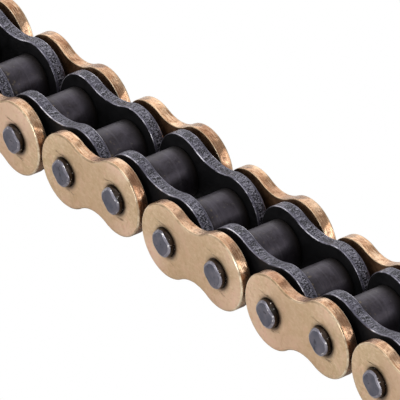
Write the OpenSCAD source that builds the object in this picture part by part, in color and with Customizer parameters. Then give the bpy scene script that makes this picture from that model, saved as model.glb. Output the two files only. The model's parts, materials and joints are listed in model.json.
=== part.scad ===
// Sealed roller chain for a motorcycle, 5/8 x 3/8 inch size, a strand of thirteen pitches.
// Both ends are inner links, so their open bushes take a connecting link.
// X runs along the chain, Y across it from the near to the far plates, Z is up.
// The strand lies on its plate edges. The origin is under its middle, on the floor.
// Small tilts of single links are the slight kinks that stiff sealed joints hold.

/* [Chain] */
// Distance between neighbouring pins
pitch = 15.875; // [15:0.005:17]
// Clear width between the two inner plates
inner_width = 9.53; // [8:0.01:11]
// Diameter of the rollers
roller_d = 10.16; // [9.6:0.01:10.4]
// Diameter of the pins
pin_d = 5.4; // [5:0.05:5.6]
// Diameter of the bushes that the rollers turn on
bush_d = 7.4; // [7.1:0.05:7.6]

/* [Plates] */
// Height of the inner plates at their rounded ends
inner_plate_h = 15.06; // [14:0.02:15.2]
// Height of the outer plates at their rounded ends
outer_plate_h = 15.06; // [14:0.02:15.2]
// Thickness of the inner plates
inner_plate_t = 2.4; // [2:0.05:2.6]
// Thickness of the outer plates
outer_plate_t = 2.4; // [2:0.05:2.6]
// Height of the inner plates at the waist
inner_waist_h = 11.9; // [11:0.05:13]
// Height of the outer plates at the waist
outer_waist_h = 10.8; // [10:0.05:12.5]
// Width of the bevel around the plate faces
plate_bevel = 0.2; // [0.1:0.05:0.45]

/* [Seals and ends] */
// Space between inner and outer plate that holds a seal
seal_gap = 1.5; // [1.2:0.01:1.6]
// Outer diameter of the four-lobed sealing rings
seal_d = 10.8; // [10.4:0.05:11.4]
// Radius of each lobe of a sealing ring
seal_lobe_r = 0.34; // [0.28:0.01:0.36]
// How far each pin stands out of its outer plate
pin_head_l = 1.2; // [0.6:0.05:1.4]
// Diameter of the spread pin end
pin_head_d = 5.6; // [5.5:0.05:5.9]
// How far the bushes stand out of the inner plates
bush_stand_out = 0.25; // [0.1:0.05:0.4]

/* [Pose] */
// How much of the kinks between the links to show, 0 is a straight chain
kink_share = 1; // [0:0.1:1]

/* [Shown part] */
// Name of the part to draw, or all

/* [Hidden] */
$fn = 48;
round_fn = 96;
// Tilt of each link in degrees, inner and outer links in turn from the -X end
link_tilt = [0, 2.7, -2.7, 0, 0.4, 5.3, -6.1, 3.1, -2.8, 6.6, -3.7, 0, -2.8];
n_links = len(link_tilt);
last_pin = n_links;
// Radial play of a pin in its bush and of a roller on its bush
running_play = 0.04;
// Space left between a sealing ring and each plate next to it
seal_play = 0.08;
overrun = 1;

// Distances from the middle plane to the plate faces
y_inner_in = inner_width / 2;
y_inner_out = y_inner_in + inner_plate_t;
y_outer_in = y_inner_out + seal_gap;
y_outer_out = y_outer_in + outer_plate_t;
y_pin_end = y_outer_out + pin_head_l;
roller_l = inner_width - 0.24;
pin_bevel = 0.25;
roller_bevel = 0.35;

// Pin positions in the X-Z plane, from the tilts of all links before each pin
function tilt(k) = kink_share * link_tilt[k];
function run_x(i) = i == 0 ? 0 : run_x(i - 1) + pitch * cos(tilt(i - 1));
function run_z(i) = i == 0 ? 0 : run_z(i - 1) + pitch * sin(tilt(i - 1));
lowest_run_z = min([for (i = [0 : last_pin]) run_z(i)]);
x_shift = -run_x(last_pin) / 2;
z_shift = max(inner_plate_h, outer_plate_h) / 2 - lowest_run_z;

// Moves to the middle of link k, with X along that link
module at_link(k) {
    translate([run_x(k) + x_shift, 0, run_z(k) + z_shift])
        rotate([0, -tilt(k), 0])
            translate([pitch / 2, 0, 0])
                children();
}

// Moves to pin i
module at_pin(i) {
    translate([run_x(i) + x_shift, 0, run_z(i) + z_shift])
        children();
}

// Places children at both pins of a link
module both_pins() {
    for (side = [-1, 1])
        translate([side * pitch / 2, 0, 0])
            children();
}

// Cylinder along Y between two distances from the middle plane
module bar(d, y0, y1) {
    translate([0, y1, 0])
        rotate([90, 0, 0])
            cylinder(d = d, h = y1 - y0, $fn = round_fn);
}

// Cone along Y, from diameter d0 at y0 to diameter d1 at y1
module taper(d0, d1, y0, y1) {
    translate([0, y0, 0])
        rotate([-90, 0, 0])
            cylinder(d1 = d0, d2 = d1, h = y1 - y0, $fn = round_fn);
}

// Figure-of-eight outline in the X-Z plane, extruded along Y
// The waist is cut by an arc that meets both rounded ends at a tangent
module waisted_slab(h, waist_h, y0, y1) {
    end_r = h / 2;
    half = pitch / 2;
    low = waist_h / 2;
    waist_r = (half * half + low * low - end_r * end_r) / (2 * (end_r - low));
    arc_z = low + waist_r;
    touch_z = arc_z * end_r / (waist_r + end_r);
    difference() {
        union() {
            both_pins()
                bar(h, y0, y1);
            translate([-half, y0, -touch_z])
                cube([pitch, y1 - y0, 2 * touch_z]);
        }
        for (side = [-1, 1])
            translate([0, 0, side * arc_z])
                bar(2 * waist_r, y0 - overrun, y1 + overrun);
    }
}

// Plate with a step bevel on its outward face and two bores for press fits
module plate(h, waist_h, bore_d, y_in, y_out, side) {
    y_step = y_out - plate_bevel;
    y_low = y_in + plate_bevel / 2;
    scale([1, side, 1])
        difference() {
            union() {
                waisted_slab(h, waist_h, y_low, y_step);
                waisted_slab(h - 2 * plate_bevel, waist_h - 2 * plate_bevel, y_in, y_out);
            }
            both_pins()
                bar(bore_d, y_in - overrun, y_out + overrun);
        }
}

module inner_plate(k, side) {
    color([0.13, 0.12, 0.14])
        at_link(k)
            plate(inner_plate_h, inner_waist_h, bush_d, y_inner_in, y_inner_out, side);
}

module outer_plate(k, side) {
    color([0.80, 0.66, 0.48])
        at_link(k)
            plate(outer_plate_h, outer_waist_h, pin_d, y_outer_in, y_outer_out, side);
}

// Two bushes pressed into both plates of inner link k
module bushes(k) {
    reach = y_inner_out + bush_stand_out;
    color([0.25, 0.24, 0.26])
        at_link(k)
            both_pins()
                difference() {
                    bar(bush_d, -reach, reach);
                    bar(pin_d + 2 * running_play, -reach - overrun, reach + overrun);
                }
}

// Roller that turns freely on the bush at pin i
module roller(i) {
    half = roller_l / 2;
    color([0.23, 0.22, 0.24])
        at_pin(i)
            difference() {
                union() {
                    bar(roller_d, roller_bevel - half, half - roller_bevel);
                    taper(roller_d - 2 * roller_bevel, roller_d, -half, roller_bevel - half);
                    taper(roller_d, roller_d - 2 * roller_bevel, half - roller_bevel, half);
                }
                bar(bush_d + 2 * running_play, -half - overrun, half + overrun);
            }
}

// Two pins of outer link k, spread and bevelled at both ends
module pins(k) {
    color([0.36, 0.37, 0.42])
        at_link(k)
            both_pins() {
                bar(pin_d, -y_outer_out, y_outer_out);
                for (side = [-1, 1])
                    scale([1, side, 1]) {
                        bar(pin_head_d, y_outer_out, y_pin_end - pin_bevel);
                        taper(pin_head_d, pin_head_d - 2 * pin_bevel, y_pin_end - pin_bevel, y_pin_end);
                    }
            }
}

// Four-lobed ring, the cross-section is an X with rounded arms
module seal_ring(y_mid) {
    half_w = seal_gap / 2 - seal_play;
    arm = half_w - seal_lobe_r;
    core_r = seal_d / 2 - half_w;
    translate([0, y_mid, 0])
        rotate([90, 0, 0])
            rotate_extrude($fn = round_fn)
                translate([core_r, 0]) {
                    square([2 * arm, 2 * arm], center = true);
                    for (u = [-1, 1], v = [-1, 1])
                        translate([u * arm, v * arm])
                            circle(r = seal_lobe_r, $fn = 24);
                }
}

// Four sealing rings of outer link k, one between each pair of plates
module seals(k) {
    y_mid = (y_inner_out + y_outer_in) / 2;
    color([0.06, 0.06, 0.06])
        at_link(k)
            both_pins()
                for (side = [-1, 1])
                    seal_ring(side * y_mid);
}

inner_plate(0, -1);  // inner1_plate_near
inner_plate(0, 1);  // inner1_plate_far
bushes(0);  // inner1_bushes
inner_plate(2, -1);  // inner2_plate_near
inner_plate(2, 1);  // inner2_plate_far
bushes(2);  // inner2_bushes
inner_plate(4, -1);  // inner3_plate_near
inner_plate(4, 1);  // inner3_plate_far
bushes(4);  // inner3_bushes
inner_plate(6, -1);  // inner4_plate_near
inner_plate(6, 1);  // inner4_plate_far
bushes(6);  // inner4_bushes
inner_plate(8, -1);  // inner5_plate_near
inner_plate(8, 1);  // inner5_plate_far
bushes(8);  // inner5_bushes
inner_plate(10, -1);  // inner6_plate_near
inner_plate(10, 1);  // inner6_plate_far
bushes(10);  // inner6_bushes
inner_plate(12, -1);  // inner7_plate_near
inner_plate(12, 1);  // inner7_plate_far
bushes(12);  // inner7_bushes
roller(0);  // roller1
roller(1);  // roller2
roller(2);  // roller3
roller(3);  // roller4
roller(4);  // roller5
roller(5);  // roller6
roller(6);  // roller7
roller(7);  // roller8
roller(8);  // roller9
roller(9);  // roller10
roller(10);  // roller11
roller(11);  // roller12
roller(12);  // roller13
roller(13);  // roller14
outer_plate(1, -1);  // outer1_plate_near
outer_plate(1, 1);  // outer1_plate_far
pins(1);  // outer1_pins
seals(1);  // outer1_seals
outer_plate(3, -1);  // outer2_plate_near
outer_plate(3, 1);  // outer2_plate_far
pins(3);  // outer2_pins
seals(3);  // outer2_seals
outer_plate(5, -1);  // outer3_plate_near
outer_plate(5, 1);  // outer3_plate_far
pins(5);  // outer3_pins
seals(5);  // outer3_seals
outer_plate(7, -1);  // outer4_plate_near
outer_plate(7, 1);  // outer4_plate_far
pins(7);  // outer4_pins
seals(7);  // outer4_seals
outer_plate(9, -1);  // outer5_plate_near
outer_plate(9, 1);  // outer5_plate_far
pins(9);  // outer5_pins
seals(9);  // outer5_seals
outer_plate(11, -1);  // outer6_plate_near
outer_plate(11, 1);  // outer6_plate_far
pins(11);  // outer6_pins
seals(11);  // outer6_seals
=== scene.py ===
"""Visual model of the sealed motorcycle chain: plates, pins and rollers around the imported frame."""
import json
import math
import random

import bmesh
import bpy
from mathutils import Matrix, Vector


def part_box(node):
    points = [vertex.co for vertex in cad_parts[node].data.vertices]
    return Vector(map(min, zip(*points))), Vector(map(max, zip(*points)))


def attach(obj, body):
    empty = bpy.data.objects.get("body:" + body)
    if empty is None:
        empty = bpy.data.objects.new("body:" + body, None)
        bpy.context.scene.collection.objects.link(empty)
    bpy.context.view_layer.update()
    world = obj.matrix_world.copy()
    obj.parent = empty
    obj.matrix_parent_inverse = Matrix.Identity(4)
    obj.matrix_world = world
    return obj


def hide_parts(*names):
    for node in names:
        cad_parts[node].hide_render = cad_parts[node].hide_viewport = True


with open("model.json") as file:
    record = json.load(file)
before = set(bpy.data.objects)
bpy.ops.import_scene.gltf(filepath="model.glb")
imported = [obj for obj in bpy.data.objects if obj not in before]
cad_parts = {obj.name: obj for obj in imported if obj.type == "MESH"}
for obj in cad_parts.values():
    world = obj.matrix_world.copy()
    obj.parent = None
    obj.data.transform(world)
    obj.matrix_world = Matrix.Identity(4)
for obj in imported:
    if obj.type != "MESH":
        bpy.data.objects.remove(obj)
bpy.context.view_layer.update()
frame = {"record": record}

scene = bpy.context.scene
MM = 0.001
TURN = 2 * math.pi
SIDES = ((-1, "near"), (1, "far"))

# ---------------------------------------------------------------- where each pin is, in millimetres
pivots = {}
for joint in frame["record"]["behaviour"]["joints"]:
    joint_name = joint["name"]
    if joint_name.startswith("roller"):
        number = int(joint_name[len("roller"):-len("_spin")])
        pivots[number - 1] = Vector(joint["pos_m"]) / MM
N_INNER = len(pivots) // 2
N_OUTER = N_INNER - 1
MIDDLE_PIN = N_INNER


def link_matrix(k):
    """Place of link k: its middle, with X along the link, in millimetres."""
    a, b = pivots[k], pivots[k + 1]
    tilt = math.atan2(b.z - a.z, b.x - a.x)
    return Matrix.Translation((a + b) / 2) @ Matrix.Rotation(-tilt, 4, "Y")


# ---------------------------------------------------------------- chain sizes, in millimetres
def side_of(node, end):
    """Lowest (end 0) or highest (end 1) Y of a CAD node, to the nearest micrometre."""
    return round(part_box(node)[end].y / MM, 3)


PITCH = round((pivots[1] - pivots[0]).length, 3)
INNER_IN = side_of("inner1_plate_far", 0)
INNER_OUT = side_of("inner1_plate_far", 1)
OUTER_IN = side_of("outer1_plate_far", 0)
OUTER_OUT = side_of("outer1_plate_far", 1)
PIN_END = side_of("outer1_pins", 1)
ROLLER_HALF = side_of("roller1", 1)
PLATE_R = 15.06 / 2
INNER_WAIST = 11.9 / 2
OUTER_WAIST = 10.8 / 2
PIN_R = 2.7
BUSH_R = 3.7
ROLLER_R = 5.08
ROLLER_BORE_R = 3.75

# steps along the curves of a mesh
LOBE_STEPS = 56
WAIST_STEPS = 26
BORE_STEPS = 72
PIN_STEPS = 112
ROLLER_STEPS = 128


# ---------------------------------------------------------------- mesh helpers
def arc(centre_x, centre_z, radius, start, end, steps, last=0):
    """Points of an arc, without its end point unless last is 1."""
    angles = [start + (end - start) * i / steps for i in range(steps + last)]
    return [(centre_x + radius * math.cos(a), centre_z + radius * math.sin(a)) for a in angles]


def outline(waist, inset):
    """Closed figure-of-eight loop of a plate, moved inwards by inset, as (x, z) points."""
    half = PITCH / 2
    waist_r = (half * half + waist * waist - PLATE_R * PLATE_R) / (2 * (PLATE_R - waist))
    waist_z = waist + waist_r
    lobe_end = math.atan2(waist_z, -half)
    waist_start = math.atan2(-waist_z, half)
    lobe_r = PLATE_R - inset
    cut_r = waist_r + inset
    points = arc(half, 0, lobe_r, -lobe_end, lobe_end, LOBE_STEPS)
    points += arc(0, waist_z, cut_r, waist_start, -math.pi - waist_start, WAIST_STEPS)
    points += arc(-half, 0, lobe_r, math.pi - lobe_end, math.pi + lobe_end, LOBE_STEPS)
    points += arc(0, -waist_z, cut_r, math.pi + waist_start, -waist_start, WAIST_STEPS)
    return points


def arc_lengths(points):
    """Length along the loop at each point, and the whole length at the end."""
    lengths = [0.0]
    for i, (x, z) in enumerate(points):
        next_x, next_z = points[(i + 1) % len(points)]
        lengths.append(lengths[-1] + math.hypot(next_x - x, next_z - z))
    return lengths


def ring(bm, points, y):
    """Vertices of one loop, at one distance y across the chain."""
    return [bm.verts.new((x, y, z)) for x, z in points]


def bridge(bm, a, b, slot):
    """Quads between two loops of the same length."""
    faces = []
    for i in range(len(a)):
        j = (i + 1) % len(a)
        face = bm.faces.new((a[i], a[j], b[j], b[i]))
        face.material_index = slot
        face.smooth = True
        faces.append(face)
    return faces


def lathe(bm, centre_x, profile, steps, slots, squash=None, closed=False):
    """Turns (radius, y) rows about a Y axis at centre_x. squash(angle, row) scales the radius."""
    rows = []
    for k, (radius, y) in enumerate(profile):
        row = []
        for i in range(steps):
            a = TURN * i / steps
            r = radius * (squash(a, k) if squash else 1.0)
            row.append(bm.verts.new((centre_x + r * math.cos(a), y, r * math.sin(a))))
        rows.append(row)
    for k in range(len(rows) - 1):
        bridge(bm, rows[k], rows[k + 1], slots[k])
    if closed:
        bridge(bm, rows[-1], rows[0], slots[-1])
    return rows


def finish_mesh(bm, name, matrix, materials):
    """Turns a bmesh in millimetres into an object whose mesh is in its place in the frame."""
    bmesh.ops.recalc_face_normals(bm, faces=bm.faces)
    mesh = bpy.data.meshes.new(name)
    bm.to_mesh(mesh)
    bm.free()
    mesh.transform(Matrix.Scale(MM, 4) @ matrix)
    obj = bpy.data.objects.new(name, mesh)
    scene.collection.objects.link(obj)
    for material in materials:
        mesh.materials.append(material)
    return obj


# ---------------------------------------------------------------- plates
FACE, EDGE, RIM, BACK = 0, 1, 2, 3
# rolled edge of the blanked plates: (distance in from the outline, depth below the face)
WIDE_ROLL = [(0.0, 0.34), (0.02, 0.26), (0.06, 0.185), (0.16, 0.085), (0.22, 0.045), (0.31, 0.028),
             (0.42, 0.022), (0.54, 0.030), (0.60, 0.004), (0.72, 0.0)]
TIGHT_ROLL = [(0.0, 0.15), (0.015, 0.09), (0.05, 0.04), (0.10, 0.012), (0.17, 0.0)]
# the same for the inward side
BREAK = [(0.0, 0.14), (0.03, 0.06), (0.08, 0.02), (0.16, 0.0)]
# the edge lies in by this much at these shares of its height
EDGE_HOLLOW = 0.006
EDGE_SHARES = (0.33, 0.66)
# further in than this, a rolled edge has the look of the face
FACE_START = 0.25
BORE_BREAK = 0.10
# the outline's waves: how often each goes up and down, where it starts in radians, how high it is
N_WAVES = 9
WAVE_TURNS = (3, 40)
WAVE_PHASES = (0, 6.283)
WAVE_HEIGHTS = (0.001, 0.003)

# what sets the two kinds of plate apart; sink is the width of the sunken ring at a bore
INNER_PLATE = {"waist": INNER_WAIST, "bore_r": BUSH_R, "sink": 0.12,
               "y_in": INNER_IN, "y_out": INNER_OUT, "roll": TIGHT_ROLL}
OUTER_PLATE = {"waist": OUTER_WAIST, "bore_r": PIN_R, "sink": 0.26,
               "y_in": OUTER_IN, "y_out": OUTER_OUT, "roll": WIDE_ROLL}


def blanking_waves(rng, count):
    """How far each point of an outline lies inwards, as blanking leaves it."""
    waves = [0.0] * count
    for _ in range(N_WAVES):
        turns = rng.randint(*WAVE_TURNS)
        phase = rng.uniform(*WAVE_PHASES)
        height = rng.uniform(*WAVE_HEIGHTS)
        for i in range(count):
            waves[i] += height * math.sin(turns * TURN * i / count + phase)
    lowest = min(waves)
    return [w - lowest for w in waves]


def moved_inwards(points, distances):
    """The loop with each point moved inwards by its own distance."""
    moved = []
    for i, (x, z) in enumerate(points):
        before_x, before_z = points[i - 1]
        after_x, after_z = points[(i + 1) % len(points)]
        along_x = after_x - before_x
        along_z = after_z - before_z
        share = distances[i] / math.hypot(along_x, along_z)
        moved.append((x - share * along_z, z + share * along_x))
    return moved


def plate_bore(bm, centre_x, bore_r, sink, y_in, y_out, side):
    """Wall of one hole. Gives its loops on the inward and on the outward face."""
    profile = ((bore_r + BORE_BREAK, y_in), (bore_r, y_in + BORE_BREAK),
               (bore_r, y_out - sink), (bore_r + sink, y_out))
    rows = [ring(bm, arc(centre_x, 0, r, 0, TURN, BORE_STEPS), side * y) for r, y in profile]
    for k in range(len(rows) - 1):
        bridge(bm, rows[k + 1], rows[k], FACE)
    return rows[0], rows[-1]


def fill_face(bm, loops, slot):
    """Flat face between an outline and its holes."""
    edges = []
    for loop in loops:
        edges += [bm.edges.get((v, loop[(i + 1) % len(loop)])) for i, v in enumerate(loop)]
    filled = bmesh.ops.triangle_fill(bm, use_beauty=True, use_dissolve=False, edges=edges)
    for item in filled["geom"]:
        if isinstance(item, bmesh.types.BMFace):
            item.material_index = slot
            item.smooth = False


def plate_mesh(name, matrix, side, seed, materials, slot, waist, bore_r, sink, y_in, y_out, roll):
    """Blanked plate: rolled edge on the outward face, small break on the inward face, two bores."""
    bm = bmesh.new()
    uv = bm.loops.layers.uv.new("UVMap")
    edge_start = y_in + BREAK[0][1]
    edge_height = y_out - roll[0][1] - edge_start
    sections = [(inset, y_in + depth) for inset, depth in reversed(BREAK)]
    sections += [(EDGE_HOLLOW, edge_start + edge_height * share) for share in EDGE_SHARES]
    sections += [(inset, y_out - depth) for inset, depth in roll]
    first_edge = len(BREAK) - 1
    first_roll = len(sections) - len(roll)

    def slot_of(row):
        if row < first_edge:
            return RIM
        if row < first_roll:
            return EDGE
        return FACE if sections[row][0] > FACE_START else RIM

    lengths = arc_lengths(outline(waist, 0.0))
    waves = blanking_waves(random.Random(seed), len(lengths) - 1)
    loops = [ring(bm, moved_inwards(outline(waist, inset), waves), side * y) for inset, y in sections]
    for k in range(len(sections) - 1):
        low = sections[k][1] - y_in
        high = sections[k + 1][1] - y_in
        for i, face in enumerate(bridge(bm, loops[k], loops[k + 1], slot_of(k))):
            start, end = lengths[i], lengths[i + 1]
            for corner, place in zip(face.loops, ((start, low), (end, low), (end, high), (start, high))):
                corner[uv].uv = place
    bores = [plate_bore(bm, x, bore_r, sink, y_in, y_out, side) for x in (-PITCH / 2, PITCH / 2)]
    fill_face(bm, (loops[0], bores[0][0], bores[1][0]), BACK)
    fill_face(bm, (loops[-1], bores[0][1], bores[1][1]), FACE)
    for face in bm.faces:
        if face.material_index in (FACE, BACK):
            for corner in face.loops:
                corner[uv].uv = (corner.vert.co.x, corner.vert.co.z)
    return finish_mesh(bm, name, matrix, materials)


# ---------------------------------------------------------------- pins and rollers
HEAD_FACE, HEAD_SIDE, HEAD_RIM = 0, 1, 2
HEAD_R = 2.8
HEAD_L = PIN_END - OUTER_OUT
HUB_DEPTH = 0.055
SAME_PLACE = 1e-5
# riveted head: (radius, height above the outer plate, slot), after the shank's last two rows
HEAD = [(PIN_R, -0.27, HEAD_SIDE), (PIN_R, -0.02, HEAD_SIDE), (HEAD_R - 0.04, 0.08, HEAD_SIDE),
        (HEAD_R, 0.25, HEAD_SIDE), (HEAD_R, 0.50, HEAD_SIDE), (HEAD_R - 0.01, 0.75, HEAD_SIDE),
        (HEAD_R - 0.02, HEAD_L - 0.30, HEAD_RIM), (HEAD_R - 0.08, HEAD_L - 0.20, HEAD_RIM),
        (HEAD_R - 0.20, HEAD_L - 0.11, HEAD_RIM), (HEAD_R - 0.36, HEAD_L - 0.05, HEAD_RIM),
        (HEAD_R - 0.50, HEAD_L - 0.01, HEAD_FACE), (HEAD_R - 0.62, HEAD_L, HEAD_FACE),
        (1.9, HEAD_L - 0.006, HEAD_FACE), (1.3, HEAD_L - 0.035, HEAD_FACE),
        (0.6, HEAD_L - 0.05, HEAD_FACE)]
# rows from the middle of a pin outwards that stay round
SHANK_ROWS = 3
# marks of the riveting tool: (angle in degrees, radius that is left, how the mark curves)
STAKES = ((42, 0.74, 1.15), (135, 0.94, 0.5), (222, 0.92, 0.5), (312, 0.95, 0.5))
# how far a mark's angle and depth stray, how wide it can be in radians, and how crisp its ends are
STAKE_TURN = 7
STAKE_SPREAD = (-0.04, 0.035)
STAKE_REACH = 1.2
STAKE_SHARPNESS = 45
# a mark begins this far above the outer plate and grows over this height, by this power
STAKE_START = 0.15
STAKE_HEIGHT = HEAD_L - 0.25
STAKE_POWER = 1.15
# the same waves round a pin's end, with heights as shares of the radius
N_RIPPLES = 4
RIPPLE_TURNS = (2, 9)
RIPPLE_PHASES = (0, 6.28)
RIPPLE_HEIGHTS = (0.001, 0.004)


def staked(a, cuts):
    """Radius factor at angle a of a pin end that stakes have flattened (curve 0.5) or dented (more)."""
    factor = 1.0
    for centre, keep, curve in cuts:
        away = (a - centre + math.pi) % TURN - math.pi
        if abs(away) < STAKE_REACH:
            cut = keep * (1 + curve * away * away)
            both = math.exp(-STAKE_SHARPNESS * factor) + math.exp(-STAKE_SHARPNESS * cut)
            factor = -math.log(both) / STAKE_SHARPNESS
    return factor


def head_squash(rng):
    """How one pin end departs from round: a function of angle and row."""
    cuts = []
    for angle, keep, curve in STAKES:
        centre = math.radians(angle + rng.uniform(-STAKE_TURN, STAKE_TURN))
        cuts.append((centre, keep + rng.uniform(*STAKE_SPREAD), curve))
    ripples = []
    for _ in range(N_RIPPLES):
        turns = rng.randint(*RIPPLE_TURNS)
        phase = rng.uniform(*RIPPLE_PHASES)
        ripples.append((turns, phase, rng.uniform(*RIPPLE_HEIGHTS)))

    def squash(a, row):
        if row < SHANK_ROWS:
            return 1.0
        share = min(1.0, max(0.0, (HEAD[row - 1][1] - STAKE_START) / STAKE_HEIGHT))
        flat = 1 + (staked(a, cuts) - 1) * share ** STAKE_POWER
        return flat * (1 + share * sum(height * math.sin(n * a + phase) for n, phase, height in ripples))

    return squash


def pin_pair(name, matrix, materials, seed):
    """Two riveted pins: dark shank, spread ends with a bevel, marked at four places by staking."""
    rng = random.Random(seed)
    bm = bmesh.new()
    slots = [HEAD_SIDE] + [slot for _, _, slot in HEAD]
    for centre_x in (-PITCH / 2, PITCH / 2):
        for side, _ in SIDES:
            profile = [(PIN_R, 0.0)] + [(r, side * (OUTER_OUT + y)) for r, y, _ in HEAD]
            last = lathe(bm, centre_x, profile, PIN_STEPS, slots, head_squash(rng))[-1]
            hub = bm.verts.new((centre_x, side * (PIN_END - HUB_DEPTH), 0))
            for i in range(len(last)):
                face = bm.faces.new((last[i], last[(i + 1) % len(last)], hub))
                face.material_index = HEAD_FACE
                face.smooth = True
    bmesh.ops.remove_doubles(bm, verts=bm.verts, dist=SAME_PLACE)
    return finish_mesh(bm, name, matrix, materials)


# rounded ends of a roller, outside and in the bore
ROLLER_ROUND = 0.30
ROLLER_ROUND_STEPS = 6
ROLLER_BORE_ROUND = 0.2
ROLLER_BORE_ROUND_STEPS = 3


def roller_mesh(name, centre, materials):
    """Thick-walled sleeve with rounded ends."""
    bm = bmesh.new()

    def corner(wall_r, round_r, end, quadrant, steps):
        middle = end * (ROLLER_HALF - round_r)
        start = quadrant * TURN / 4
        return arc(wall_r, middle, round_r, start, start + TURN / 4, steps, last=1)

    outside = ROLLER_R - ROLLER_ROUND
    inside = ROLLER_BORE_R + ROLLER_BORE_ROUND
    profile = corner(outside, ROLLER_ROUND, -1, -1, ROLLER_ROUND_STEPS)
    profile += [(ROLLER_R, y) for y in (-ROLLER_HALF / 2, 0.0, ROLLER_HALF / 2)]
    profile += corner(outside, ROLLER_ROUND, 1, 0, ROLLER_ROUND_STEPS)
    profile += corner(inside, ROLLER_BORE_ROUND, 1, 1, ROLLER_BORE_ROUND_STEPS)
    profile += corner(inside, ROLLER_BORE_ROUND, -1, 2, ROLLER_BORE_ROUND_STEPS)
    lathe(bm, 0.0, profile, ROLLER_STEPS, [0] * len(profile), closed=True)
    return finish_mesh(bm, name, Matrix.Translation(centre), materials)


# ---------------------------------------------------------------- node trees
# nearly all of a noise texture's values lie between these two
NOISE_LOW, NOISE_HIGH = 0.3, 0.7


class Nodes:
    """Short way to write a node tree."""

    def __init__(self, tree):
        self.nodes = tree.nodes
        self.links = tree.links

    def feed(self, socket, value):
        """Links a socket to another node's output, or sets it to a plain value."""
        if isinstance(value, bpy.types.NodeSocket):
            self.links.new(value, socket)
        else:
            socket.default_value = value

    def add(self, kind, **values):
        """New node. Each value goes to the input of its name, or else to the node's own setting."""
        node = self.nodes.new(kind)
        for key, value in values.items():
            label = key.replace("_", " ")
            if label in node.inputs:
                self.feed(node.inputs[label], value)
            else:
                setattr(node, key, value)
        return node

    def math(self, operation, *values):
        """Result of a sum, product or the like."""
        node = self.add("ShaderNodeMath", operation=operation)
        for socket, value in zip(node.inputs, values):
            self.feed(socket, value)
        return node.outputs[0]

    def remap(self, value, low, high, start, end):
        """Goes from low to high while value goes from start to end, and stays level beyond."""
        node = self.add("ShaderNodeMapRange", Value=value,
                        From_Min=start, From_Max=end, To_Min=low, To_Max=high)
        return node.outputs["Result"]

    def spread(self, noise, low, high):
        """Goes from low to high over the whole of a noise."""
        return self.remap(noise, low, high, NOISE_LOW, NOISE_HIGH)

    def mix_shaders(self, share, first, second, output):
        """Sends a mix of two shaders to a tree's output: all of the first where share is 0."""
        mixed = self.add("ShaderNodeMixShader")
        for socket, value in zip(mixed.inputs, (share, first, second)):
            self.feed(socket, value)
        self.feed(self.nodes[output].inputs["Surface"], mixed.outputs[0])


class Surface(Nodes):
    """A new material, and its shader."""

    def __init__(self, name):
        self.material = bpy.data.materials.new(name)
        self.material.use_nodes = True
        super().__init__(self.material.node_tree)
        self.shader = self.nodes["Principled BSDF"]

    def set(self, **values):
        """Feeds the shader's inputs."""
        for key, value in values.items():
            self.feed(self.shader.inputs[key.replace("_", " ")], value)

    def coords(self, scale, kind="Object", shift=(0, 0, 0)):
        """Object coordinates in metres, or UV ones in millimetres, times scale."""
        if isinstance(scale, (int, float)):
            scale = (scale, scale, scale)
        source = self.add("ShaderNodeTexCoord").outputs[kind]
        return self.add("ShaderNodeMapping", Vector=source, Scale=scale, Location=shift).outputs["Vector"]

    def noise(self, scale, detail, rough, distortion=0.0, shift=(0, 0, 0)):
        """Noise through the solid, with so many cells to the metre."""
        return self.noise_on(self.coords(scale, "Object", shift), detail, rough, distortion)

    def uv_noise(self, along, across, detail, rough, distortion=0.0):
        """Noise on a face or along an edge, with so many cells to the millimetre each way."""
        return self.noise_on(self.coords((along, across, 1), "UV"), detail, rough, distortion)

    def noise_on(self, vector, detail, rough, distortion):
        """Noise with one cell to each unit of vector."""
        node = self.add("ShaderNodeTexNoise", Vector=vector, Scale=1.0,
                        Detail=detail, Roughness=rough, Distortion=distortion)
        return node.outputs["Fac"]

    def uv_pair(self):
        """Millimetres along and across a plate's face, or along its edge and up it."""
        split = self.add("ShaderNodeSeparateXYZ", Vector=self.add("ShaderNodeTexCoord").outputs["UV"])
        return split.outputs["X"], split.outputs["Y"]

    def ramp(self, share, *stops):
        """Colour that runs through (position, colour) stops."""
        node = self.add("ShaderNodeValToRGB", Fac=share)
        elements = node.color_ramp.elements
        while len(elements) < len(stops):
            elements.new(0.5)
        for element, (position, colour) in zip(elements, stops):
            element.position = position
            element.color = (*colour, 1)
        return node.outputs["Color"]

    def mix(self, share, first, second):
        """Colour that is first where share is 0 and second where it is 1."""
        node = self.add("ShaderNodeMix", data_type="RGBA")
        for label, kind, value in (("Factor", "VALUE", share), ("A", "RGBA", first), ("B", "RGBA", second)):
            socket = [s for s in node.inputs if s.name == label and s.type == kind][0]
            self.feed(socket, (*value, 1) if isinstance(value, tuple) else value)
        return [s for s in node.outputs if s.type == "RGBA"][0]

    def within(self, value, centre, half, soft):
        """1 within half of centre, falling to 0 over soft."""
        away = self.math("ABSOLUTE", self.math("SUBTRACT", value, centre))
        return self.remap(away, 1.0, 0.0, half, half + soft)

    def bump(self, height, strength, distance, under=None):
        """Normal with a height pressed into it, on top of the one under it. Distance in metres."""
        node = self.add("ShaderNodeBump", Height=height, Strength=strength, Distance=distance)
        if under is not None:
            self.feed(node.inputs["Normal"], under)
        return node.outputs["Normal"]


# ---------------------------------------------------------------- gold outer plates
MARK_COLOUR = (0.17, 0.095, 0.045)
# dark brown of the dirt round the pins, also used as their painted shadow
DIRT_AND_SHADOW_COLOUR = (0.034, 0.018, 0.010)
# the two limits of the dirt ring and its painted shadow, in millimetres from the middle of the pin
DIRT_SHADOW_START, DIRT_SHADOW_END = 2.75, 4.0
# picks which plates are paler and which are redder
PATCH_SHIFT = (5.3, 1.1, 0.0)


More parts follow.
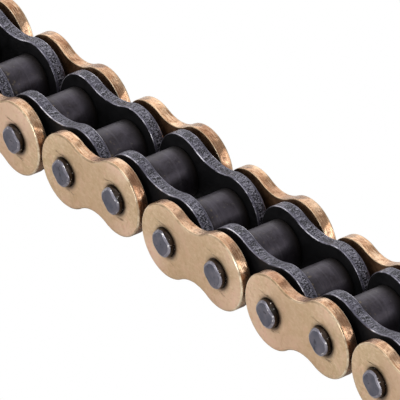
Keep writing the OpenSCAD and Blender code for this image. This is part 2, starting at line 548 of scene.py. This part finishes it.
def pin_dirt_and_shadow(t, x, z, cloud):
    """Dirt at the foot of a pin, with a painted shadow that makes it thicker on one side of it."""
    r = t.math("SQRT", t.math("ADD", t.math("MULTIPLY", x, x), t.math("MULTIPLY", z, z)))
    wobble = t.math("MULTIPLY", t.math("SUBTRACT", cloud, 0.5), 0.6)
    # painted shadow: the dark ring reaches further out on the right and lower side of the pin, as a cast
    # shadow would
    shadow_lean = t.math("DIVIDE", t.math("SUBTRACT", x, t.math("MULTIPLY", z, 0.35)), r)
    foot = t.math("SUBTRACT", t.math("ADD", r, wobble), t.math("MULTIPLY", shadow_lean, 0.20))
    shades = t.ramp(t.remap(foot, 0.0, 1.0, DIRT_SHADOW_START, DIRT_SHADOW_END),
                    (0.0, (1, 1, 1)), (0.25, (0.80, 0.80, 0.80)),
                    (0.55, (0.28, 0.28, 0.28)), (1.0, (0, 0, 0)))
    return t.remap(shades, 0.0, 0.97, 0.0, 1.0)


def tool_marks(t, x, z, drift):
    """Scratches that the riveting tool left above and below a pin."""
    strokes = t.uv_noise(0.45, 4.5, 3, 0.6, 0.4)
    slope = t.math("ADD", z, t.math("MULTIPLY", x, t.spread(drift, -0.25, 0.55)))
    line = t.math("ADD", slope, t.math("MULTIPLY", t.math("SUBTRACT", strokes, 0.5), 1.3))
    over = t.math("MULTIPLY", t.within(line, 3.30, 0.05, 0.09), t.within(x, -0.9, 1.3, 0.9))
    under = t.math("MULTIPLY", t.within(line, -3.45, 0.06, 0.09), t.within(x, 1.3, 0.8, 0.7))
    return t.math("MAXIMUM", over, under)


def gold_face():
    """Mottled gold, with fine grain, tool marks, and dirt round the pins with a painted shadow on one side.
    """
    t = Surface("gold_face")
    fine = t.noise((900, 900, 1700), 3, 0.55)
    cloud = t.noise(760, 5, 0.66, 0.6)
    patch = t.noise(42, 3, 0.5, shift=PATCH_SHIFT)
    blush = t.noise(520, 3, 0.6, 0.5)
    drift = t.noise(85, 2, 0.5)
    base = t.ramp(patch, (0.36, (0.570, 0.420, 0.250)), (0.48, (0.630, 0.448, 0.285)),
                  (0.60, (0.790, 0.545, 0.415)))
    base = t.mix(t.remap(blush, 0.0, 0.40, 0.50, 0.66), base, (0.78, 0.50, 0.37))
    base = t.mix(t.remap(cloud, 0.0, 0.50, 0.53, 0.70), base, (0.46, 0.295, 0.160))
    base = t.mix(t.remap(cloud, 0.5, 0.0, 0.34, 0.48), base, (0.72, 0.54, 0.37))
    base = t.mix(t.remap(fine, 0.0, 0.6, 0.50, 0.66), base, (0.76, 0.60, 0.40))
    # a little deeper in colour between the pins than at the two ends
    along, across = t.uv_pair()
    from_middle = t.math("ABSOLUTE", along)
    base = t.mix(t.remap(from_middle, 0.42, 0.0, 3.5, 10.5), base, (0.52, 0.345, 0.210))
    # x and across are millimetres from the nearer pin
    x = t.math("SUBTRACT", along, t.math("MULTIPLY", t.math("SIGN", along), PITCH / 2))
    marks = tool_marks(t, x, across, drift)
    base = t.mix(t.math("MULTIPLY", marks, t.remap(drift, 1.0, 0.25, 0.42, 0.62)), base, MARK_COLOUR)
    # dirt ring and painted shadow round each pin
    base = t.mix(pin_dirt_and_shadow(t, x, across, cloud), base, DIRT_AND_SHADOW_COLOUR)
    t.set(Base_Color=base, Metallic=0.88, Roughness=t.spread(cloud, 0.40, 0.54))
    normal = t.bump(fine, 0.20, 0.00003)
    normal = t.bump(cloud, 0.5, 0.00014, normal)
    t.set(Normal=t.bump(t.math("SUBTRACT", 1.0, marks), 0.6, 0.00008, normal))
    return t.material


def gold_edge():
    """Blanked edge: hammered and streaked gold with dark patches."""
    t = Surface("gold_edge")
    streak = t.uv_noise(0.30, 4.2, 4, 0.65)
    grain = t.uv_noise(1.5, 1.1, 4, 0.70, 0.6)
    hammer = t.uv_noise(0.30, 0.36, 1, 0.5)
    patch = t.noise(210, 5, 0.65, 0.5)
    broad = t.noise(85, 2, 0.5)
    base = t.ramp(patch, (0.36, (0.23, 0.100, 0.045)), (0.50, (0.48, 0.275, 0.155)),
                  (0.64, (0.69, 0.475, 0.315)))
    base = t.mix(t.remap(streak, 0.0, 0.75, 0.46, 0.66), base, (0.81, 0.60, 0.415))
    base = t.mix(t.remap(broad, 0.65, 0.0, 0.38, 0.52), base, (0.30, 0.15, 0.085))
    base = t.mix(t.remap(grain, 0.0, 0.75, 0.55, 0.66), base, (0.20, 0.095, 0.05))
    t.set(Base_Color=base, Metallic=0.92, Roughness=t.spread(grain, 0.20, 0.38))
    normal = t.bump(hammer, 1.0, 0.0006)
    normal = t.bump(streak, 0.4, 0.00010, normal)
    t.set(Normal=t.bump(grain, 0.2, 0.00008, normal))
    return t.material


def gold_rim():
    """Rolled rim of the gold plates, rubbed bright at the two ends of a plate, where a painted highlight
    also brightens it.
    """
    t = Surface("gold_rim")
    lengths = arc_lengths(outline(OUTER_WAIST, 0.0))
    plate_end = lengths[LOBE_STEPS // 2]
    quarter = lengths[-1] / 4
    broad = t.noise(230, 2, 0.5)
    patch = t.noise(700, 4, 0.6, 0.4)
    wear = t.math("ADD", t.math("MULTIPLY", broad, 0.6), t.math("MULTIPLY", patch, 0.4))
    base = t.ramp(wear, (0.38, (0.34, 0.225, 0.130)), (0.48, (0.48, 0.34, 0.215)),
                  (0.60, (0.64, 0.48, 0.32)))
    # wear and painted highlight: the rim turns cream near both ends of the plate
    from_end = t.math("PINGPONG", t.math("SUBTRACT", t.uv_pair()[0], plate_end), quarter)
    painted_light_near_end = t.remap(from_end, 1.0, 0.0, 4.5, 10.0)
    rubbed_and_highlight = t.math("MULTIPLY", painted_light_near_end, t.remap(wear, 0.10, 1.0, 0.43, 0.56))
    base = t.mix(rubbed_and_highlight, base, (0.88, 0.77, 0.58))
    t.set(Base_Color=base, Metallic=0.92, Roughness=t.spread(patch, 0.28, 0.42))
    t.set(Normal=t.bump(patch, 0.4, 0.00010))
    return t.material


def gold_back_shaded():
    """Oiled gold of the side that faces the inner plates, painted darker as the shade in the narrow gap
    between the plates.
    """
    t = Surface("gold_back_shaded")
    cloud = t.noise(420, 5, 0.6, 0.4)
    # painted shade: dark copper-brown in place of the shade between the plates
    base = t.ramp(cloud, (0.34, (0.16, 0.075, 0.035)), (0.66, (0.33, 0.18, 0.10)))
    t.set(Base_Color=base, Metallic=0.85, Roughness=t.spread(cloud, 0.36, 0.52))
    t.set(Normal=t.bump(cloud, 0.4, 0.00010))
    return t.material


# ---------------------------------------------------------------- black inner plates
def black_face():
    """Oiled black with light scuffs, for both sides of the inner plates."""
    t = Surface("black_face")
    cloud = t.noise(500, 5, 0.6)
    scuff = t.noise((180, 180, 900), 4, 0.6)
    base = t.ramp(cloud, (0.35, (0.0045, 0.0045, 0.005)), (0.70, (0.010, 0.0095, 0.011)))
    base = t.mix(t.remap(scuff, 0.0, 0.5, 0.60, 0.80), base, (0.022, 0.020, 0.024))
    t.set(Base_Color=base, Metallic=0.3, Roughness=t.spread(cloud, 0.42, 0.58), Specular_IOR_Level=0.3)
    normal = t.bump(scuff, 0.3, 0.00005)
    t.set(Normal=t.bump(cloud, 0.35, 0.00008, normal))
    return t.material


def black_edge():
    """Blanked edge: smooth light borders, torn and pitted between them."""
    t = Surface("black_edge")
    along = t.uv_noise(0.16, 0.0, 2, 0.5)
    pits = t.uv_noise(2.3, 0.9, 3, 0.75, 1.0)
    tiny = t.uv_noise(6.0, 4.0, 3, 0.6)
    fleck = t.uv_noise(3.6, 3.0, 2, 0.6)
    # cells of torn metal, each in its own tone, with paler seams
    bend = t.add("ShaderNodeVectorMath", operation="ADD")
    t.feed(bend.inputs[0], t.coords((3.0, 1.0, 1), "UV"))
    t.feed(bend.inputs[1], t.math("MULTIPLY", pits, 1.4))
    cells = t.add("ShaderNodeTexVoronoi", feature="DISTANCE_TO_EDGE", Scale=1.0, Vector=bend.outputs[0])
    tones = t.add("ShaderNodeTexVoronoi", feature="F1", Scale=1.0, Vector=bend.outputs[0])
    tone = t.add("ShaderNodeSeparateColor", Color=tones.outputs["Color"]).outputs[0]
    from_seam = cells.outputs["Distance"]
    rough = t.ramp(tone, (0.0, (0.004, 0.004, 0.005)), (0.50, (0.012, 0.011, 0.015)),
                   (0.60, (0.110, 0.104, 0.138)), (0.94, (0.250, 0.243, 0.288)))
    rough = t.mix(t.remap(from_seam, 0.9, 0.0, 0.02, 0.12), rough, (0.125, 0.118, 0.156))
    rough = t.mix(t.remap(fleck, 0.90, 0.0, 0.39, 0.48), rough, (0.006, 0.006, 0.008))
    rough = t.mix(t.remap(fleck, 0.0, 0.85, 0.55, 0.64), rough, (0.280, 0.272, 0.322))
    smooth = t.ramp(tiny, (0.35, (0.058, 0.054, 0.078)), (0.65, (0.112, 0.105, 0.144)))
    # the torn band runs along the middle of the edge, fainter in places
    height = t.math("ADD", t.uv_pair()[1], t.math("MULTIPLY", t.math("SUBTRACT", pits, 0.5), 0.9))
    band = t.within(height, 1.20, 0.74, 0.14)
    torn = t.math("MULTIPLY", band, t.remap(along, 0.55, 1.0, 0.34, 0.44))
    base = t.mix(torn, smooth, rough)
    t.set(Base_Color=base, Metallic=0.6, Roughness=t.spread(pits, 0.32, 0.54))
    normal = t.bump(tiny, 0.35, 0.00005)
    dip = t.remap(from_seam, 1.0, 0.0, 0.0, 0.25)
    t.set(Normal=t.bump(t.math("MULTIPLY", dip, torn), 0.9, 0.00008, normal))
    return t.material


def black_rim():
    """Edges of the inner plates, worn through to bright steel in places."""
    t = Surface("black_rim")
    broad = t.noise(210, 2, 0.5)
    patch = t.noise(900, 4, 0.6)
    wear = t.math("ADD", t.math("MULTIPLY", broad, 0.65), t.math("MULTIPLY", patch, 0.35))
    base = t.ramp(wear, (0.42, (0.07, 0.067, 0.085)), (0.51, (0.26, 0.25, 0.30)),
                  (0.60, (0.78, 0.76, 0.82)))
    t.set(Base_Color=base, Metallic=0.85, Roughness=t.spread(patch, 0.26, 0.42))
    t.set(Normal=t.bump(patch, 0.5, 0.00012))
    return t.material


# ---------------------------------------------------------------- pins, rollers, bushes and seals
def pin_face():
    """Blue-grey steel of the riveted ends, with dark specks."""
    t = Surface("pin_face")
    cloud = t.noise(420, 5, 0.6)
    specks = t.noise(1200, 2, 0.5)
    base = t.ramp(cloud, (0.34, (0.060, 0.062, 0.090)), (0.50, (0.096, 0.094, 0.122)),
                  (0.66, (0.140, 0.131, 0.160)))
    base = t.mix(t.remap(specks, 0.0, 0.7, 0.63, 0.71), base, (0.02, 0.02, 0.03))
    t.set(Base_Color=base, Metallic=0.7, Roughness=t.spread(cloud, 0.38, 0.52))
    t.set(Normal=t.bump(cloud, 0.45, 0.00010))
    return t.material


def pin_rim():
    """Bevel round a pin's end, painted paler than the face as a highlight, with small painted glints."""
    t = Surface("pin_rim")
    cloud = t.noise(600, 4, 0.6)
    painted_glint = t.noise(1700, 2, 0.5)
    # paler than the pin face: painted highlight on the bevel
    base = t.ramp(cloud, (0.35, (0.130, 0.122, 0.150)), (0.65, (0.27, 0.26, 0.30)))
    # painted glints: small near-white specks
    base = t.mix(t.remap(painted_glint, 0.0, 0.7, 0.62, 0.69), base, (0.80, 0.78, 0.77))
    t.set(Base_Color=base, Metallic=0.8, Roughness=t.spread(cloud, 0.28, 0.42))
    t.set(Normal=t.bump(cloud, 0.35, 0.00008))
    return t.material


def pin_side():
    """Near-black to dark brown side of a pin, with a few painted glints."""
    t = Surface("pin_side")
    cloud = t.noise((420, 900, 420), 4, 0.6)
    painted_glint = t.noise((2300, 1500, 2300), 2, 0.5)
    base = t.ramp(cloud, (0.35, (0.010, 0.007, 0.005)), (0.65, (0.045, 0.026, 0.015)))
    # painted glints: small pale specks
    base = t.mix(t.remap(painted_glint, 0.0, 1.0, 0.66, 0.70), base, (0.55, 0.53, 0.52))
    t.set(Base_Color=base, Metallic=0.6, Roughness=t.spread(cloud, 0.30, 0.48))
    t.set(Normal=t.bump(painted_glint, 0.6, 0.00012))
    return t.material


def roller_steel():
    """Dark steel with faint turning lines, painted shade at both ends next to the plates, and grit towards
    the near end.
    """
    t = Surface("roller_steel")
    band = t.noise((60, 1900, 60), 4, 0.6)
    cloud = t.noise(480, 5, 0.7, 0.5)
    speck = t.noise(1300, 2, 0.5)
    base = t.ramp(cloud, (0.34, (0.034, 0.028, 0.034)), (0.66, (0.066, 0.058, 0.074)))
    base = t.mix(t.remap(band, 0.0, 0.35, 0.52, 0.72), base, (0.110, 0.099, 0.122))
    base = t.mix(t.remap(speck, 0.0, 0.5, 0.66, 0.74), base, (0.11, 0.10, 0.09))
    # painted shade: near black towards both ends, where the plates shade the roller
    across = t.add("ShaderNodeSeparateXYZ", Vector=t.coords(1 / MM)).outputs["Y"]
    painted_light_near_end = t.math("ADD", t.math("ABSOLUTE", across), t.math("MULTIPLY", cloud, 2.4))
    base = t.mix(t.remap(painted_light_near_end, 0.0, 0.95, 3.3, 5.5), base, (0.014, 0.011, 0.009))
    near_side = t.remap(across, 0.0, 0.8, -0.8, -3.5)
    grit = t.math("MULTIPLY", t.remap(speck, 0.0, 1.0, 0.59, 0.68), near_side)
    base = t.mix(grit, base, (0.145, 0.112, 0.075))
    t.set(Base_Color=base, Metallic=0.6, Roughness=t.spread(cloud, 0.38, 0.50), Specular_IOR_Level=0.3)
    normal = t.bump(band, 0.20, 0.00003)
    t.set(Normal=t.bump(cloud, 0.5, 0.00014, normal))
    return t.material


def bush_steel():
    """Plain oiled steel."""
    t = Surface("bush_steel")
    cloud = t.noise((500, 900, 500), 4, 0.6)
    base = t.ramp(cloud, (0.35, (0.045, 0.042, 0.048)), (0.65, (0.10, 0.095, 0.105)))
    t.set(Base_Color=base, Metallic=0.85, Roughness=t.spread(cloud, 0.28, 0.42))
    t.set(Normal=t.bump(cloud, 0.3, 0.00006))
    return t.material


def seal_rubber():
    """Black rubber with a film of grease."""
    t = Surface("seal_rubber")
    cloud = t.noise(700, 4, 0.6)
    base = t.ramp(cloud, (0.35, (0.006, 0.006, 0.0065)), (0.65, (0.014, 0.013, 0.014)))
    t.set(Base_Color=base, Metallic=0.0, Roughness=t.spread(cloud, 0.42, 0.62))
    t.set(Normal=t.bump(cloud, 0.3, 0.00006))
    return t.material


# ---------------------------------------------------------------- the links and rollers
# each list is in the order of its mesh's slots
GOLD = [gold_face(), gold_edge(), gold_rim(), gold_back_shaded()]
OILED = black_face()
BLACK = [OILED, black_edge(), black_rim(), OILED]
PIN = [pin_face(), pin_side(), pin_rim()]
ROLLER = [roller_steel()]
BUSH = bush_steel()
RUBBER = seal_rubber()
INNER_SEED = 100
OUTER_SEED = 500
PIN_SEED = 900
SEED_STEP = 10


def paint(node, material):
    """Gives a CAD node that stays in the picture its material."""
    for material_slot in bpy.data.objects[node].material_slots:
        material_slot.material = material


for n in range(1, N_INNER + 1):
    place = link_matrix(2 * n - 2)
    for side, word in SIDES:
        node = f"inner{n}_plate_{word}"
        piece = plate_mesh(f"v_{node}", place, side, INNER_SEED + SEED_STEP * n + side, BLACK,
                           "inner_plate", **INNER_PLATE)
        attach(piece, f"inner_link{n}")
        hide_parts(node)
    paint(f"inner{n}_bushes", BUSH)

for n in range(1, N_OUTER + 1):
    place = link_matrix(2 * n - 1)
    for side, word in SIDES:
        node = f"outer{n}_plate_{word}"
        piece = plate_mesh(f"v_{node}", place, side, OUTER_SEED + SEED_STEP * n + side, GOLD,
                           "outer_plate", **OUTER_PLATE)
        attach(piece, f"outer_link{n}")
        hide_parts(node)
    piece = pin_pair(f"v_outer{n}_pins", place, PIN, PIN_SEED + n)
    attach(piece, f"outer_link{n}")
    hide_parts(f"outer{n}_pins")
    paint(f"outer{n}_seals", RUBBER)

for i in range(len(pivots)):
    piece = roller_mesh(f"v_roller{i + 1}", pivots[i], ROLLER)
    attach(piece, f"roller_body{i + 1}")
    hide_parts(f"roller{i + 1}")

# ---------------------------------------------------------------- camera
# fitted to the pins and plates in the photograph; distances in millimetres
CAMERA_AZIMUTH = math.radians(54.257)
CAMERA_ELEVATION = math.radians(31.327)
CAMERA_ROLL = math.radians(-1.789)
CAMERA_DISTANCE = 92.307 * PITCH
CAMERA_RIGHT = 0.1581 * PITCH
CAMERA_UP = -0.2557 * PITCH
CAMERA_LENS = 714.83
CAMERA_SENSOR = 36


def add_camera():
    """Long lens, aimed beside the middle pin by so much right and up in the picture."""
    level = Vector((math.cos(CAMERA_AZIMUTH), math.sin(CAMERA_AZIMUTH), 0))
    forward = Vector((-level.y, level.x, 0)) * math.cos(CAMERA_ELEVATION)
    forward.z = -math.sin(CAMERA_ELEVATION)
    upright = level.cross(forward)
    right = level * math.cos(CAMERA_ROLL) + upright * math.sin(CAMERA_ROLL)
    up = upright * math.cos(CAMERA_ROLL) - level * math.sin(CAMERA_ROLL)
    target = Vector((pivots[MIDDLE_PIN].x, 0, pivots[MIDDLE_PIN].z))
    eye = target - right * CAMERA_RIGHT - up * CAMERA_UP - forward * CAMERA_DISTANCE
    data = bpy.data.cameras.new("camera")
    data.sensor_width = CAMERA_SENSOR
    data.lens = CAMERA_LENS
    data.clip_start = 0.01
    data.clip_end = 20
    camera = bpy.data.objects.new("camera", data)
    scene.collection.objects.link(camera)
    turned = Matrix((right, up, -forward)).transposed().to_4x4()
    camera.matrix_world = Matrix.Translation(eye * MM) @ turned
    scene.camera = camera


add_camera()

# ---------------------------------------------------------------- floor, surroundings and lights, in metres
FLOOR_HALF = 6.0
WHITE = (1, 1, 1, 1)
FLOOR_COLOUR = (0.8, 0.8, 0.8, 1)
# strength of the light that a lit floor sends up, and how far below the horizon it is full
FLOOR_GLOW = 0.8
FLOOR_GLOW_FULL = -0.05
# (direction, cosines where the glow starts and is full, strength before and after)
WALL_GLOW = ((-0.72, 0.1, 0.6), (-1, 1), (0.08, 0.72))
BACK_GLOW = ((0.80, 0.58, -0.05), (0.80, 0.98), (0.0, 0.9))
# (name, direction, distance, width, height, watts)
SOFTBOXES = (
    ("softbox_left", (-0.75, 0.45, 0.55), 1.2, 1.3, 1.0, 4.6),
    ("softbox_top", (-0.1, -0.1, 1.0), 1.2, 1.0, 1.0, 4.5),
    ("fill_front", (-0.5, -1.0, 0.22), 1.4, 0.9, 0.5, 1.8),
    ("softbox_back", (0.74, 0.50, 0.43), 1.3, 0.5, 0.40, 2.4),
    ("softbox_front", (0.36, -0.86, 0.34), 1.3, 0.24, 0.50, 5.2),
)


def add_floor():
    """Floor that bounces light up onto the chain.

    The camera, the lamps and whatever folds below it look through it to the white surroundings,
    so no pose and no low view is cut off by it.
    """
    mesh = bpy.data.meshes.new("floor")
    corners = [(FLOOR_HALF * x, FLOOR_HALF * y, 0) for x, y in ((-1, -1), (1, -1), (1, 1), (-1, 1))]
    mesh.from_pydata(corners, [], [(0, 1, 2, 3)])
    floor = bpy.data.objects.new("floor", mesh)
    scene.collection.objects.link(floor)
    t = Surface("floor_white")
    t.set(Base_Color=FLOOR_COLOUR, Roughness=0.9, Specular_IOR_Level=0.1)
    path = t.add("ShaderNodeLightPath")
    below = t.add("ShaderNodeNewGeometry").outputs["Backfacing"]
    through = t.math("MAXIMUM", path.outputs["Is Camera Ray"], path.outputs["Is Shadow Ray"])
    clear = t.add("ShaderNodeBsdfTransparent").outputs[0]
    t.mix_shaders(t.math("MAXIMUM", through, below), t.shader.outputs[0], clear, "Material Output")
    mesh.materials.append(t.material)


def glow(t, look, direction, cosines, strengths):
    """Strength of the surroundings, which rises towards one direction."""
    toward = t.add("ShaderNodeVectorMath", operation="DOT_PRODUCT")
    t.feed(toward.inputs[0], look)
    t.feed(toward.inputs[1], Vector(direction).normalized())
    return t.remap(toward.outputs["Value"], *strengths, *cosines)


def add_surroundings():
    """Pure white to the camera, and the studio's glow to light that bounces."""
    world = bpy.data.worlds.new("studio")
    scene.world = world
    world.use_nodes = True
    t = Nodes(world.node_tree)
    look = t.add("ShaderNodeTexCoord").outputs["Generated"]
    studio = t.nodes["Background"]
    t.feed(studio.inputs["Color"], WHITE)
    above = t.math("ADD", glow(t, look, *WALL_GLOW), glow(t, look, *BACK_GLOW))
    # whatever folds below the floor gets the light that the floor would have sent up
    height = t.add("ShaderNodeSeparateXYZ", Vector=look).outputs["Z"]
    below = t.remap(height, FLOOR_GLOW, 0.0, FLOOR_GLOW_FULL, 0.0)
    t.feed(studio.inputs["Strength"], t.math("MAXIMUM", above, below))
    plain = t.add("ShaderNodeBackground", Color=WHITE)
    seen = t.add("ShaderNodeLightPath").outputs["Is Camera Ray"]
    t.mix_shaders(seen, studio.outputs[0], plain.outputs[0], "World Output")


def add_softbox(name, direction, distance, width, height, watts):
    """Rectangular lamp that faces the chain."""
    data = bpy.data.lights.new(name, "AREA")
    data.shape = "RECTANGLE"
    data.size = width
    data.size_y = height
    data.energy = watts
    lamp = bpy.data.objects.new(name, data)
    scene.collection.objects.link(lamp)
    outwards = Vector(direction).normalized()
    lamp.location = outwards * distance
    lamp.rotation_euler = (-outwards).to_track_quat("-Z", "Y").to_euler()


add_floor()
add_surroundings()
for softbox in SOFTBOXES:
    add_softbox(*softbox)

scene.view_settings.view_transform = "Standard"
